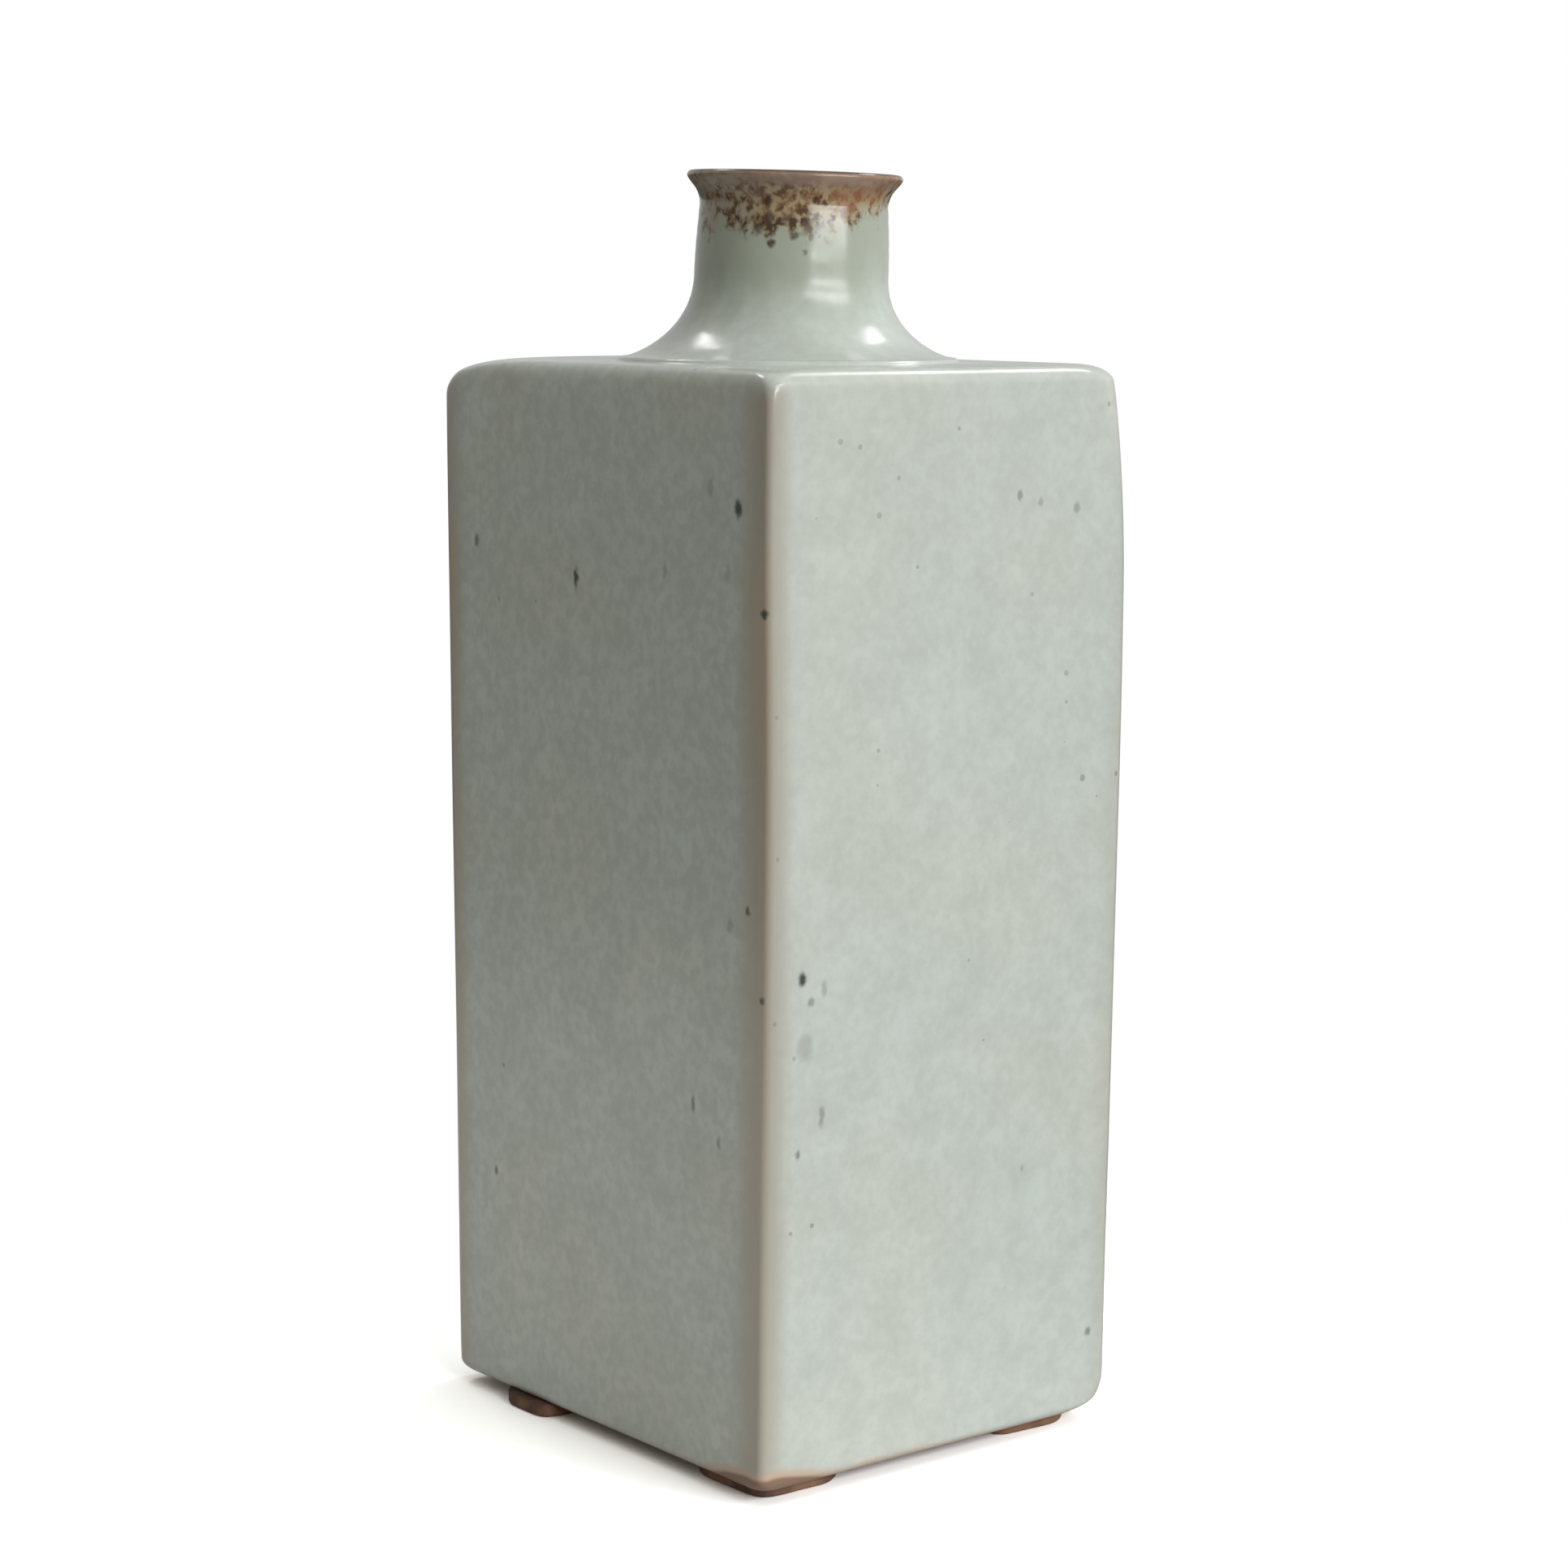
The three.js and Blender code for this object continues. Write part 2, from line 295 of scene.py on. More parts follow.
# The walls: four slabs mitred and luted at the corners, with a roll of clay pressed into each
# seam inside. Inside the body the clay stays bare and fires paler.
pale_clay = (0.4, 0.31, 0.23)
pale_clay_shade = (0.27, 0.19, 0.13)
inner_clay = clay_material("inner_clay", pale_clay, pale_clay_shade, roughness=0.85)
corner_names = ("back_right", "back_left", "front_left", "front_right")
for side in ("front", "right", "back", "left"):
    dress("wall_" + side, inner_clay)
dress("base_seam_coil", inner_clay)
for corner in corner_names:
    dress("seam_coil_" + corner, inner_clay)


# The shoulder slab closes the body, and the neck, thrown on the wheel, is luted over its hole.
# Both are under the glaze, and show bare only inside.
dress("shoulder_slab", inner_clay)
dress("neck", inner_clay)


# The feet: four pads of the same clay pressed on under the corners by hand, so that no two
# are quite alike. They are wiped clean of glaze, and the edge that meets the table is worn.
foot_round = 0.7 * mm
foot_waver = 0.35 * mm
foot_points = 72
foot_power = 2.8  # how square a pad is, where 2 is an oval and 6 nearly an oblong
square_power = 3.2  # and how much squarer it is at its squarest corner
square_side = math.radians(-135)  # the way that each pad's squarest corner points
waver_seed = 5.3  # sets the four pads apart
# How far a pad stands past its plain shape on its low side and on its high side, in x and y
proud = {
    "back_left": (Vector((-1.1, 0, 0)) * mm, Vector((0, 0, 0))),
    "front_left": (Vector((0, 0, 0)), Vector((0, 1.6, 0)) * mm),
}
for number, corner in enumerate(corner_names):
    low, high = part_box("foot_" + corner)
    if corner in proud:
        low, high = low + proud[corner][0], high + proud[corner][1]
    middle, half = (low + high) / 2, (high - low) / 2
    foot_bm = bmesh.new()
    bmesh.ops.create_circle(foot_bm, cap_ends=True, radius=half.x, segments=foot_points)
    pad = bmesh.ops.extrude_face_region(foot_bm, geom=list(foot_bm.faces))["geom"]
    raised = [v for v in pad if isinstance(v, bmesh.types.BMVert)]
    bmesh.ops.translate(foot_bm, vec=(0, 0, high.z), verts=raised)
    for vert in foot_bm.verts:
        angle = math.atan2(vert.co.y, vert.co.x)
        away = Vector((math.cos(angle), math.sin(angle)))
        power = foot_power + square_power * max(0.0, math.cos(angle - square_side)) ** 2
        reach = (abs(away.x) ** power + abs(away.y) ** power) ** (-1 / power)
        waver = noise.noise(Vector((*away, waver_seed * number))) * foot_waver
        vert.co.xy = middle.xy + half.xy * away * reach + away * waver
    underside = [e for e in foot_bm.edges if max(v.co.z for v in e.verts) < foot_round]
    bmesh.ops.bevel(
        foot_bm, geom=underside, offset=foot_round, segments=5,
        profile=0.5, affect="EDGES", material=-1,
    )
    bmesh.ops.recalc_face_normals(foot_bm, faces=foot_bm.faces)
    foot = add_mesh_object("foot_pad_" + corner, foot_bm, bare_clay)
    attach(foot, "root")
    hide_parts("foot_" + corner)


# The glaze: one skin of celadon over the whole outside, about a third of a millimetre deep. It
# turns under the base, climbs the walls, crosses the shoulder, and runs up the neck and down
# inside the lip. It was dipped and poured, so it lies a little unevenly.
glaze_depth = 0.3 * mm
glaze_skin = 0.26 * mm
base_round = 1.8 * mm
shoulder_round = 2.5 * mm
rub_height = 6 * mm
drawn_in_height = 36 * mm
skirt_radius = 27.4 * mm  # where the rolled rim of the neck's foot meets the shoulder
skirt_rise = 0.7 * mm
skirt_tuck = 0.3 * mm  # how flat that rim starts out from the shoulder
skirt_roll = 0.65 * mm  # and how round it turns over
flare_start = 26.4 * mm
waist_radius = 15.4 * mm
throat_radius = 14.9 * mm
flare_height = 13.6 * mm
lip_radius = 17.1 * mm
lip_bead = 0.8 * mm
lip_flare_height = 5 * mm
lip_height = 200 * mm  # of the middle of the lip, which dips to one side as the neck leans
lip_lean = Vector((0.8, -0.6)) * mm
lip_dip = 0.4 * mm  # how far the lip sinks on the side that it leans to
bore_radius = 11.25 * mm
bore_depth = 16 * mm  # how far the glaze runs down inside the neck
corner_steps = 12
side_steps = 36

base_low, base_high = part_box("base_slab")
shoulder_low, shoulder_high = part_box("shoulder_slab")
neck_low, neck_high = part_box("neck")
neck_centre = (neck_low + neck_high) / 2
body_foot = base_low.z
body_top = shoulder_high.z
skin_foot = body_foot - glaze_depth
skin_top = body_top + glaze_depth

bow_top = 154 * mm  # the walls bow out a little below this height
bow_full = 104 * mm
front_bow = 1.1  # of the front left corner, towards the front, in millimetres

# Each corner's side in x and y, the radius of its upright edge, how much wider that is rubbed at
# the shoulder and at the base, how much it is drawn in over its upper part, and how far it bows
# out in x and y, all in millimetres
corner_marks = {
    "back_right": (1, 1, 3.1, 4, 1, 0, 0, 0),
    "back_left": (-1, 1, 3.1, 22, 0.5, 0, 0, 0),
    "front_left": (-1, -1, 1.2, 3, 1, 0, 0, front_bow),
    "front_right": (1, -1, 3.1, 1, 9, 6.5, 0.4, 0),
}


def wall_reach(z):
    """Half the glazed body's width and depth at a height, before its long edges round in."""
    share = (z - base_high.z) / (shoulder_low.z - base_high.z)
    return base_high.xy.lerp(shoulder_high.xy, share) + Vector((glaze_depth, glaze_depth))


def bow_at(z):
    """How much of their full bow the walls have at a height."""
    share = min(1.0, max(0.0, (bow_top - z) / (bow_top - bow_full)))
    return share * share * (3 - 2 * share)


def stand_back(distance, radius):
    """How far a round edge stands back at a distance from the face that it rounds into."""
    rise = max(0.0, radius - distance)
    return radius - math.sqrt(max(0.0, radius**2 - rise**2))


def body_ring(z):
    """Points round the body at a height: an oblong with each corner rounded in its own way."""
    back = max(stand_back(z - skin_foot, base_round), stand_back(skin_top - z, shoulder_round))
    half = wall_reach(z) - Vector((back, back))
    high = stand_back(skin_top - z, rub_height) / rub_height
    low = stand_back(z - skin_foot, rub_height) / rub_height
    draw = max(0.0, 1 - (skin_top - z) / drawn_in_height) ** 2
    bow = bow_at(z)
    arcs = []
    for number, corner in enumerate(corner_names):
        side_x, side_y, arris, shoulder_rub, base_rub, drawn_in, bow_x, bow_y = corner_marks[corner]
        radius = back + (arris + shoulder_rub * high + base_rub * low + drawn_in * draw) * mm
        out_x, out_y = half.x + bow * bow_x * mm, half.y + bow * bow_y * mm
        centre = Vector((side_x * (out_x - radius), side_y * (out_y - radius)))
        angles = [(number + i / corner_steps) * math.pi / 2 for i in range(corner_steps + 1)]
        arcs.append([centre + radius * Vector((math.cos(a), math.sin(a))) for a in angles])
    points = []
    for arc, next_arc in zip(arcs, arcs[1:] + arcs[:1]):
        points += arc[:-1]
        points += [arc[-1].lerp(next_arc[0], i / side_steps) for i in range(side_steps)]
    return points


def neck_ring(radius):
    """As many points round the neck, each in line with one on the body."""
    corner_arc = math.radians(24)
    side_arc = math.pi / 2 - corner_arc
    points = []
    for number in range(4):
        start = (number + 0.5) * math.pi / 2 - corner_arc / 2
        angles = [start + corner_arc * i / corner_steps for i in range(corner_steps)]
        angles += [start + corner_arc + side_arc * i / side_steps for i in range(side_steps)]
        points += [neck_centre.xy + radius * Vector((math.cos(a), math.sin(a))) for a in angles]
    return points


def bezier(start, pull_start, pull_end, end, steps):
    """Points along a curve that leaves its start and reaches its end by way of two pulls."""
    points = []
    for i in range(1, steps + 1):
        t = i / steps
        weights = ((1 - t) ** 3, 3 * (1 - t) ** 2 * t, 3 * (1 - t) * t**2, t**3)
        pulls = (Vector(start), Vector(pull_start), Vector(pull_end), Vector(end))
        points.append(sum((w * p for w, p in zip(weights, pulls)), Vector((0, 0))))
    return points


# The heights of the body's rings, up round the base, the wall, the drawn-in part and the shoulder
under_turn = 12  # degrees of the base's round at which the glaze starts
base_steps = 12
rub_steps = 6
wall_steps = 44
draw_steps = 16
shoulder_steps = 14
wall_start = skin_foot + rub_height
draw_start = skin_top - drawn_in_height
heights = []
for i in range(base_steps + 1):
    angle = math.radians(under_turn + (90 - under_turn) * i / base_steps)
    heights.append(skin_foot + base_round * (1 - math.cos(angle)))
for i in range(1, rub_steps + 1):
    heights.append(skin_foot + base_round + (rub_height - base_round) * i / rub_steps)
for i in range(1, wall_steps + 1):
    heights.append(wall_start + (draw_start - wall_start) * i / wall_steps)
for i in range(1, draw_steps + 1):
    heights.append(draw_start + (drawn_in_height - rub_height) * i / draw_steps)
for i in range(1, rub_steps + 1):
    heights.append(skin_top - rub_height + (rub_height - shoulder_round) * i / rub_steps)
for i in range(1, shoulder_steps + 1):
    angle = math.pi / 2 * i / shoulder_steps
    heights.append(skin_top - shoulder_round * (1 - math.sin(angle)))
rings = [(body_ring(z), z) for z in heights]

# The flat of the shoulder, in to the foot of the neck
flat_steps = 6
shoulder_edge = rings[-1][0]
skirt = neck_ring(skirt_radius)
for i in range(1, flat_steps + 1):
    rings.append(([a.lerp(b, i / flat_steps) for a, b in zip(shoulder_edge, skirt)], skin_top))

# The neck's section as radius and height: its rolled foot, the flare, the waist, the flared lip
# with its round bead, and the bore as far down as it is glazed. The two middle points of each
# curve pull it into shape.
waist_low = body_top + flare_height
waist_high = lip_height - lip_flare_height
waist_rise = waist_high - waist_low
flare_reach = flare_start - waist_radius
flare_foot = skin_top + skirt_rise
lip_top = lip_height + 0.05 * mm
bead_height = lip_top - lip_bead
bead_steps = 10
inner_lip = lip_radius - 2 * lip_bead
bore_start = waist_high - 2.5 * mm
bore_steps = 6
section = bezier(
    (skirt_radius, skin_top), (skirt_radius - skirt_tuck, skin_top),
    (flare_start + skirt_roll, flare_foot), (flare_start, flare_foot), 6,
)
section += bezier(
    (flare_start, flare_foot), (flare_start - 0.21 * flare_reach, flare_foot),
    (waist_radius, waist_low - 0.63 * flare_height), (waist_radius, waist_low), 24,
)
section += bezier(
    (waist_radius, waist_low), (waist_radius, waist_low + 0.5 * waist_rise),
    (throat_radius, waist_high - 0.1 * waist_rise), (throat_radius, waist_high), 14,
)
section += bezier(
    (throat_radius, waist_high), (throat_radius, waist_high + 2.1 * mm),
    (lip_radius - 0.5 * mm, lip_top - 1.85 * mm), (lip_radius, bead_height), 10,
)
for i in range(1, bead_steps + 1):
    angle = math.pi * i / bead_steps
    bead_centre = Vector((lip_radius - lip_bead, bead_height))
    section.append(bead_centre + lip_bead * Vector((math.cos(angle), math.sin(angle))))
section += bezier(
    (inner_lip, bead_height), (inner_lip - 0.2 * mm, lip_top - 2.6 * mm),
    (bore_radius, waist_high + 1.4 * mm), (bore_radius, bore_start), 10,
)
for i in range(1, bore_steps + 1):
    section.append(Vector((bore_radius, bore_start - bore_depth * i / bore_steps)))
rings += [(neck_ring(p.x), p.y) for p in section]

# One net through all the rings, drawn up from the first
glaze_bm = bmesh.new()
column = glaze_bm.verts.layers.int.new("column")
first_ring, first_height = rings[0]
start = bmesh.ops.create_circle(glaze_bm, radius=base_high.y, segments=len(first_ring))["verts"]
start.sort(key=lambda v: math.atan2(v.co.y, v.co.x) % (2 * math.pi))
for i, vert in enumerate(start):
    vert[column] = i
    vert.co = (*first_ring[i], first_height)
edges = list(glaze_bm.edges)
for ring, height in rings[1:]:
    grown = bmesh.ops.extrude_edge_only(glaze_bm, edges=edges)["geom"]
    edges = [e for e in grown if isinstance(e, bmesh.types.BMEdge)]
    for vert in grown:
        if isinstance(vert, bmesh.types.BMVert):
            vert.co = (*ring[vert[column]], height)
bmesh.ops.recalc_face_normals(glaze_bm, faces=glaze_bm.faces)

# The neck's lean, and the waves and throwing rings that the hand left
wave_length = 45 * mm
wave_depth = 0.12 * mm
wave_seed = Vector((3.1, 7.7, 1.3))
throw_start = body_top + 6 * mm
throw_pitch = 2.3 * mm
throw_depth = 0.02 * mm
glaze_bm.normal_update()
for vert in glaze_bm.verts:
    share = max(0.0, (vert.co.z - skin_top) / (lip_height - skin_top))
    wave = noise.noise(vert.co / wave_length + wave_seed) * wave_depth * max(0.0, 1 - share)
    throw = 0
    if vert.co.z > throw_start:
        throw = math.sin(vert.co.z / throw_pitch * 2 * math.pi) * throw_depth
    vert.co += vert.normal * (wave + throw)
    from_axis = vert.co.xy - neck_centre.xy
    dip = from_axis.dot(lip_lean.normalized()) * lip_dip / lip_radius
    vert.co += Vector((*lip_lean, -dip)) * share

# The glaze's colours: plain celadon, what shows where it is thin, the iron on it, and the neck's
# darker tones, which are partly painted shade
warm_celadon = (0.56, 0.58, 0.52)
cool_celadon = (0.525, 0.59, 0.55)
cloud_grey = (0.42, 0.45, 0.4)
mottle_grey = (0.38, 0.4, 0.36)
# The next two darken the neck partly as painted shade, besides their own grey and green
neck_grey_and_shade = (0.4, 0.415, 0.38)
thick_green_and_shade = (0.32, 0.355, 0.28)
cream_break = (0.39, 0.37, 0.315)
tan_break = (0.45, 0.385, 0.295)
pink_break = (0.5, 0.37, 0.28)
brown_break = (0.2, 0.115, 0.07)
olive = (0.33, 0.3, 0.22)
ochre = (0.35, 0.275, 0.16)
iron_red = (0.24, 0.1, 0.045)
iron_brown = (0.16, 0.088, 0.034)
iron_dark = (0.052, 0.03, 0.016)
rim_wash = (0.3, 0.215, 0.165)
rim_dark = (0.06, 0.036, 0.026)
speck_colour = (0.05, 0.05, 0.045)

# Iron specks: on the left wall as y and height, on the front wall as x and height, and on the
# neck as an angle and height, each with its size, stretch and strength
left_wall_specks = (
    (-36.1, 150.3, 0.95, 1.6, 0.9),
    (32.7, 141.5, 0.75, 1.5, 0.6),
    (5.1, 137.3, 0.7, 2.6, 0.9),
    (-42.3, 135.3, 0.75, 1.1, 0.9),
    (26.5, 132.5, 0.45, 1.3, 0.55),
    (16.0, 133.0, 0.4, 1.2, 0.4),
    (-18.0, 140.0, 0.7, 1.8, 0.3),
    (-38.7, 91.0, 0.65, 1.2, 0.75),
    (-34.4, 88.3, 0.8, 1.6, 0.3),
    (-42.1, 78.0, 0.6, 1.2, 0.8),
    (-25.4, 59.5, 0.55, 3.0, 0.6),
    (-31.8, 54.7, 0.6, 1.8, 0.4),
    (28.2, 38.4, 0.6, 1.5, 0.7),
    (26.0, 56.5, 0.5, 1.2, 0.4),
    (-29.4, 153.1, 0.9, 1.8, 0.3),
    (-33.6, 140.6, 0.8, 2.0, 0.2),
)
front_wall_specks = (
    (-29.6, 80.8, 0.85, 1.4, 0.95),
    (-27.9, 77.1, 0.6, 1.5, 0.45),
    (-25.4, 78.9, 0.6, 2.4, 0.3),
    (-28.9, 70.4, 1.6, 1.5, 0.2),
    (-25.5, 59.4, 0.6, 2.8, 0.4),
    (-30.1, 54.0, 0.5, 1.8, 0.55),
    (31.4, 15.5, 0.7, 1.3, 0.55),
    (12.3, 151.0, 0.6, 1.5, 0.45),
    (16.7, 149.9, 0.6, 1.2, 0.3),
    (24.2, 148.8, 0.75, 1.3, 0.35),
    (16.0, 45.0, 0.5, 1.3, 0.25),
)
neck_specks = (
    (-144, 195.6, 0.7, 2.0, 0.85),
    (-143, 192.9, 0.9, 1.2, 0.8),
    (-149, 191.4, 0.9, 1.0, 0.8),
    (-153, 192.6, 0.5, 1.4, 0.7),
    (-141, 188.9, 0.75, 1.0, 0.95),
    (-132, 192.8, 0.8, 1.0, 0.7),
    (-128, 190.0, 0.65, 1.1, 0.8),
    (-121, 187.6, 0.55, 1.3, 0.8),
    (-116, 195.5, 0.55, 1.0, 0.85),
    (-110, 195.0, 0.6, 1.0, 0.85),
    (-107, 192.2, 0.4, 1.2, 0.7),
    (-113, 190.2, 0.45, 1.0, 0.7),
    (-98, 193.5, 0.5, 1.8, 0.6),
)



def build_glaze_mottle():
    """The slow patches, soft clouds, fine mottle and small iron dust of the celadon."""
    group = bpy.data.node_groups.new("glaze_mottle", "ShaderNodeTree")
    for name in ("Patch", "Cloud", "Mottle", "Dust", "Height"):
        group.interface.new_socket(name, in_out="OUTPUT", socket_type="NodeSocketFloat")
    outlet = group.nodes.new("NodeGroupOutput")
    place = node(group, "TexCoord").outputs["Object"]
    patch = mottling(group, place, 28, 2)
    cloud = mottling(group, place, 120, 5, 0.72)
    mottle = mottling(group, place, 560, 2)
    ripple = mottling(group, place, 260, 2)
    grains = node(group, "TexVoronoi", {"Vector": place, "Scale": 260})
    chance = node(group, "SeparateColor", {"Color": grains.outputs["Color"]})
    size = between(group, chance.outputs["Red"], 0.7, 1.0, 0, 0.15)
    dust = calculate(group, "LESS_THAN", grains.outputs["Distance"], size)
    fill(group, outlet.inputs["Patch"], between(group, patch, 0.36, 0.64))
    fill(group, outlet.inputs["Cloud"], between(group, cloud, 0.3, 0.7))
    fill(group, outlet.inputs["Mottle"], between(group, mottle, 0.35, 0.65))
    fill(group, outlet.inputs["Dust"], calculate(group, "MULTIPLY", dust, chance.outputs["Green"]))
    fill(group, outlet.inputs["Height"], ripple)
    return group


# The plain glaze, more mottled on the left wall than elsewhere
cloud_share = 0.48
mottle_share = 0.2
left_mottle_share = 0.4
dust_share = 0.4

celadon = new_material("celadon_glaze")
tree = celadon.node_tree
mottle = tree.nodes.new("ShaderNodeGroup")
mottle.node_tree = build_glaze_mottle()
place = node(tree, "TexCoord").outputs["Object"]
along = node(tree, "SeparateXYZ", {0: place})
x, y, z = along.outputs[0], along.outputs[1], along.outputs[2]

patches = calculate(tree, "MULTIPLY_ADD", mottle.outputs["Patch"], 0.6, 0.2)
colour = blend(tree, patches, warm_celadon, cool_celadon)
clouds = calculate(tree, "MULTIPLY", mottle.outputs["Cloud"], cloud_share)
colour = blend(tree, clouds, colour, cloud_grey)
fine_share = between(tree, x, -36 * mm, -33 * mm, left_mottle_share, mottle_share)
fine = calculate(tree, "MULTIPLY", mottle.outputs["Mottle"], fine_share)
colour = blend(tree, fine, colour, mottle_grey)

# How far a point of the body lies from the nearest upright edge, along its wall: above 0 on the
# front and back walls, and below 0 on the side walls
climb = calculate(tree, "DIVIDE", z, body_top)
half_x = base_high.x + glaze_depth
half_y_foot = base_high.y + glaze_depth
half_y_growth = shoulder_high.y - base_high.y
half_y = calculate(tree, "MULTIPLY_ADD", climb, half_y_growth, half_y_foot)
from_x = calculate(tree, "SUBTRACT", half_x, calculate(tree, "ABSOLUTE", x))
from_y = calculate(tree, "SUBTRACT", half_y, calculate(tree, "ABSOLUTE", y))
bowed = between(tree, z, bow_full, bow_top, front_bow * mm, 0)
round_edge = calculate(tree, "SUBTRACT", calculate(tree, "SUBTRACT", from_x, from_y), bowed)
on_body = between(tree, z, body_top - 4 * mm, body_top - 0.5 * mm, 1, 0)

# Thin glaze on the upright edges lets the clay through: a cream band runs along the front and
# back of each edge, most of all on the left, and a tan one beside it round the corner, which is
# weaker near the base and the shoulder
band_waver = 1.6 * mm
cream_width = 5.5 * mm
tan_width = 9 * mm
thin = mottling(tree, place, 60, 3)
slow = mottling(tree, place, 14, 1)
band = calculate(tree, "SUBTRACT", round_edge, band_waver / 2)
band = calculate(tree, "MULTIPLY_ADD", thin, band_waver, band)
tan_side = between(tree, band, -0.3 * mm, 0.2 * mm, 1, 0)
tan_end = between(tree, band, -tan_width, -1.5 * mm)
tan_high = between(tree, z, 138 * mm, 150 * mm, 1, 0.1)
tan_low = between(tree, z, 12 * mm, 60 * mm, 0.35, 1)
tan_fade = calculate(tree, "MULTIPLY", tan_high, tan_low)
tan_level = calculate(tree, "MULTIPLY", between(tree, slow, 0.4, 0.56, 0.5, 0.9), tan_fade)
tan = calculate(tree, "MULTIPLY", calculate(tree, "MULTIPLY", tan_side, tan_end), tan_level)
cream = calculate(tree, "MULTIPLY", between(tree, band, 0.4 * mm, cream_width, 1, 0), tan_end)
cream = calculate(tree, "MULTIPLY", cream, between(tree, x, -10 * mm, 10 * mm, 1, 0.3))
colour = blend(tree, calculate(tree, "MULTIPLY", cream, on_body), colour, cream_break)
colour = blend(tree, calculate(tree, "MULTIPLY", tan, on_body), colour, tan_break)

# It is thin round the turn of the base too, and nearly bare there at the front left corner
bare_rise = 2.6 * mm
bare_waver = 2.4 * mm
corner_place = (-half_x, -half_y_foot, 0)
from_corner = measure(tree, "DISTANCE", place, corner_place)
rise = between(tree, from_corner, 4 * mm, 18 * mm, bare_rise, 0)
low_edge = calculate(tree, "MULTIPLY_ADD", thin, bare_waver, z)
low_edge = calculate(tree, "SUBTRACT", low_edge, rise)
pink_share = between(tree, low_edge, body_foot + 1 * mm, body_foot + 2.6 * mm, 0.9, 0)
colour = blend(tree, pink_share, colour, pink_break)
brown_share = between(tree, low_edge, body_foot + 0.2 * mm, body_foot + 1 * mm, 0.9, 0)
colour = blend(tree, brown_share, colour, brown_break)

# Iron specks, with their outlines made a little ragged
speck_waver = 0.9 * mm
speck_core = 0.4  # of a speck's size, where it starts to fade
speck_halo = 1.3  # and where it ends
unevenness = node(tree, "TexNoise", {"Vector": place, "Scale": 900, "Detail": 1}).outputs["Color"]
unevenness = measure(tree, "SUBTRACT", unevenness, (0.5, 0.5, 0.5))
unevenness = measure(tree, "MULTIPLY", unevenness, (speck_waver, speck_waver, speck_waver))
ragged_place = measure(tree, "ADD", unevenness, place)


def add_speck(tree, masks, centre, size, stretch, strength):
    """Adds a soft-edged spot about a point of the surface to the masks."""
    offset = measure(tree, "SUBTRACT", ragged_place, centre)
    offset = measure(tree, "MULTIPLY", offset, (1, 1, 1 / stretch))
    reach = measure(tree, "LENGTH", offset)
    spot = between(tree, reach, size * speck_core * mm, size * speck_halo * mm, strength, 0)
    return calculate(tree, "MAXIMUM", masks, spot)


specks = 0.0
for across, height, *marks in left_wall_specks:
    specks = add_speck(tree, specks, (-half_x, across * mm, height * mm), *marks)
for across, height, *marks in front_wall_specks:
    bulge = front_bow * mm * bow_at(height * mm) * (0.5 - across * mm / (2 * half_x))
    face_y = -wall_reach(height * mm).y - bulge
    specks = add_speck(tree, specks, (across * mm, face_y, height * mm), *marks)
dust = calculate(tree, "MULTIPLY", mottle.outputs["Dust"], dust_share)
colour = blend(tree, dust, colour, speck_colour)
colour = blend(tree, specks, colour, speck_colour)

# The iron splash round the lip ran a little way down the neck, furthest at the front left. Angles
# go round the neck from there, in radians, and grow towards the right. Heights follow the lip's dip
splash_way = math.radians(-128)
splash_lean = 0.8  # of the lip's lean, at the splash's height
streak_length = 10 * mm
splash_start = lip_height - 5.5 * mm
lip_axis = neck_centre.xy + lip_lean * splash_lean
from_lip = measure(tree, "SUBTRACT", place, (*lip_axis, 0))
turned = node(tree, "Mapping", {"Vector": from_lip, "Rotation": (0, 0, -splash_way)}).outputs[0]
turned = node(tree, "SeparateXYZ", {0: turned})
around = calculate(tree, "ARCTAN2", turned.outputs[1], turned.outputs[0])
lip_slope = lip_lean.normalized() * lip_dip / lip_radius
level_z = measure(tree, "DOT_PRODUCT", from_lip, (*lip_slope, 1))
drips = node(tree, "Mapping", {"Vector": place, "Scale": (1, 1, 0.35)}).outputs[0]
streak = mottling(tree, drips, 330, 3)
runs = node(tree, "Mapping", {"Vector": place, "Scale": (1, 1, 0.85)}).outputs[0]
blot = mottling(tree, runs, 720, 3, 0.6)
short_right = between(tree, around, 0.3, 1.5, 0, 4.5 * mm)
short_left = between(tree, around, -1.9, -1.2, 5 * mm, 0)
short_side = calculate(tree, "ADD", short_right, short_left)
ragged = calculate(tree, "MULTIPLY_ADD", streak, streak_length, level_z)
ragged = calculate(tree, "SUBTRACT", ragged, short_side)

# Under the iron the neck is greyer and darker than the walls, and the thick glaze below the lip is
# greener and darker: partly the glaze's own tone and partly painted shade on the neck
neck_grey_and_shade_share = between(tree, level_z, body_top + 9 * mm, body_top + 17 * mm, 0, 0.45)
colour = blend(tree, neck_grey_and_shade_share, colour, neck_grey_and_shade)
thick_green_and_shade_share = between(tree, ragged, lip_height - 22 * mm, lip_height - 8 * mm, 0, 0.75)
colour = blend(tree, thick_green_and_shade_share, colour, thick_green_and_shade)
wash_share = between(tree, ragged, splash_start, lip_height - 1 * mm, 0, 0.9)
wash = blend(tree, between(tree, around, -0.65, -0.15), olive, ochre)
colour = blend(tree, wash_share, colour, wash)

# Brown and near-black spots lie close together where the splash is thickest
from_thickest = calculate(tree, "ABSOLUTE", calculate(tree, "ADD", around, 0.2))
blotted = calculate(tree, "ADD", blot, between(tree, from_thickest, 0.2, 0.7, 0.08, 0))
in_splash = between(tree, ragged, splash_start, lip_height - 3 * mm)
brown_spots = calculate(tree, "MULTIPLY", between(tree, blotted, 0.47, 0.6, 0, 0.75), in_splash)
dark_spots = calculate(tree, "MULTIPLY", between(tree, blotted, 0.58, 0.66, 0, 0.9), in_splash)
colour = blend(tree, brown_spots, colour, iron_brown)
colour = blend(tree, dark_spots, colour, iron_dark)

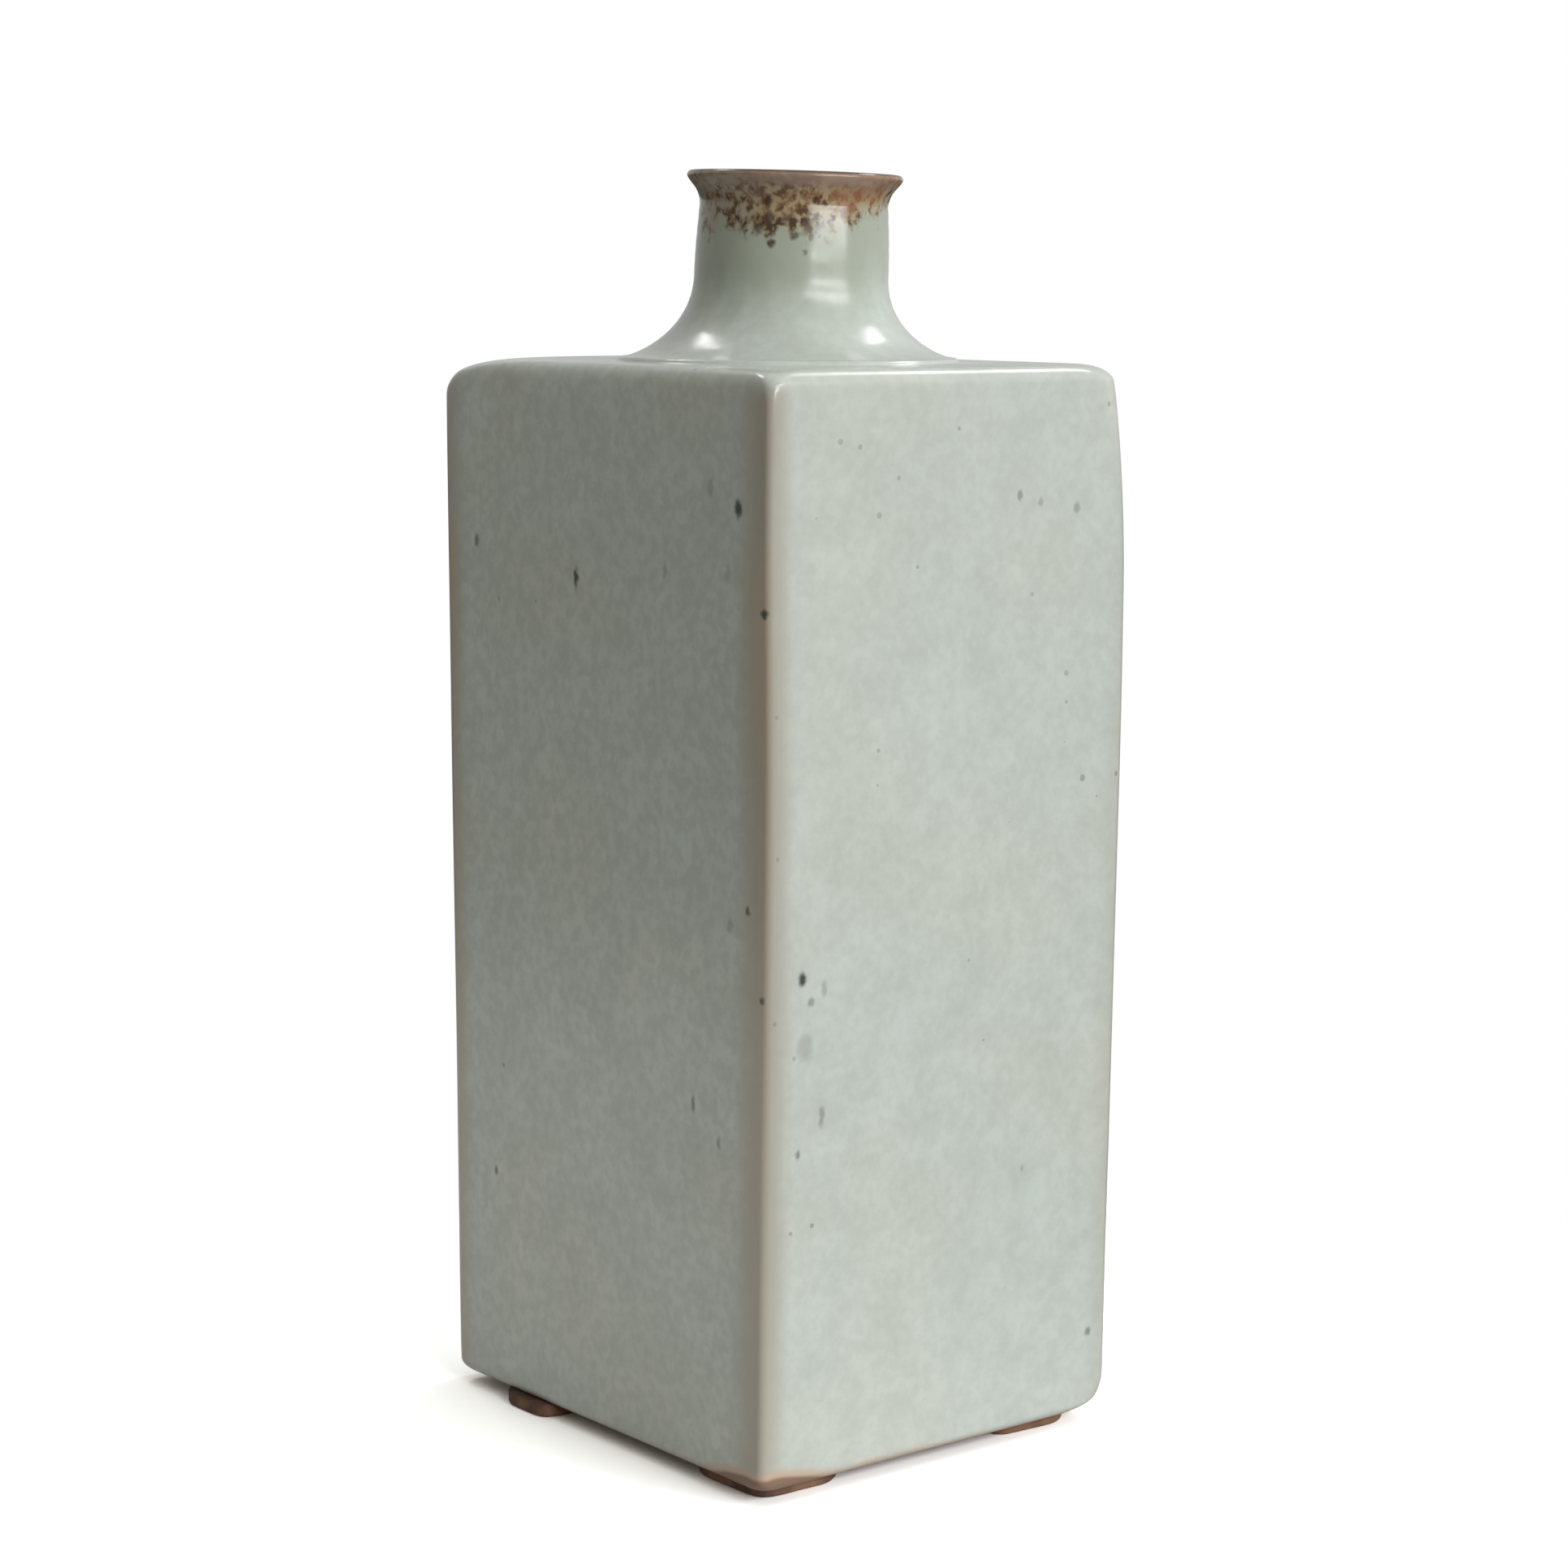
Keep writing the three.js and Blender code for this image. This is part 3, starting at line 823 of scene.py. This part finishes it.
# Rust red further round to the right, and a brown wash on the rim, darkest on its top
rim_waver = 2.4 * mm
rusty = between(tree, around, 0.25, 0.5, 0.3, 1)
rusty = calculate(tree, "MULTIPLY", rusty, between(tree, blot, 0.38, 0.56, 0.5, 1))
rust_rise = between(tree, ragged, lip_height - 2.5 * mm, lip_height + 1 * mm)
colour = blend(tree, calculate(tree, "MULTIPLY", rust_rise, rusty), colour, iron_red)
rim_level = calculate(tree, "MULTIPLY_ADD", streak, rim_waver, level_z)
rim_left = between(tree, around, -1, -0.3, 0.35, 0.75)
rim_right = between(tree, around, 0.6, 1.2, 1, 0.4)
rim_rise = between(tree, rim_level, lip_height - 1.6 * mm, lip_height - 0.6 * mm)
rim_share = calculate(tree, "MULTIPLY", rim_rise, calculate(tree, "MULTIPLY", rim_left, rim_right))
colour = blend(tree, rim_share, colour, rim_wash)
top_share = between(tree, level_z, lip_top - 0.45 * mm, lip_top - 0.15 * mm, 0, 0.85)
colour = blend(tree, top_share, colour, rim_dark)

neck_spots = 0.0
for angle, height, *marks in neck_specks:
    turn = math.radians(angle)
    share = (height * mm - skin_top) / (lip_height - skin_top)
    lean = neck_centre.xy + lip_lean * share
    spot_place = lean + throat_radius * Vector((math.cos(turn), math.sin(turn)))
    neck_spots = add_speck(tree, neck_spots, (*spot_place, height * mm), *marks)
colour = blend(tree, neck_spots, colour, iron_dark)

gloss_roughness = 0.15
satin_roughness = 0.25
ripple_depth = 0.12 * mm
roughness = between(tree, mottle.outputs["Cloud"], 0, 1, gloss_roughness, satin_roughness)
ripples = {"Strength": 0.25, "Distance": ripple_depth, "Height": mottle.outputs["Height"]}
bump = node(tree, "Bump", ripples)
surface = node(
    tree, "BsdfPrincipled",
    {"Base Color": colour, "Roughness": roughness, "IOR": 1.5, "Normal": bump.outputs[0]},
)
node(tree, "OutputMaterial", {"Surface": surface.outputs[0]})

glaze = add_mesh_object("glaze_coat", glaze_bm, celadon)
skin = glaze.modifiers.new("skin", "SOLIDIFY")
skin.thickness = glaze_skin
skin.offset = -1
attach(glaze, "root")
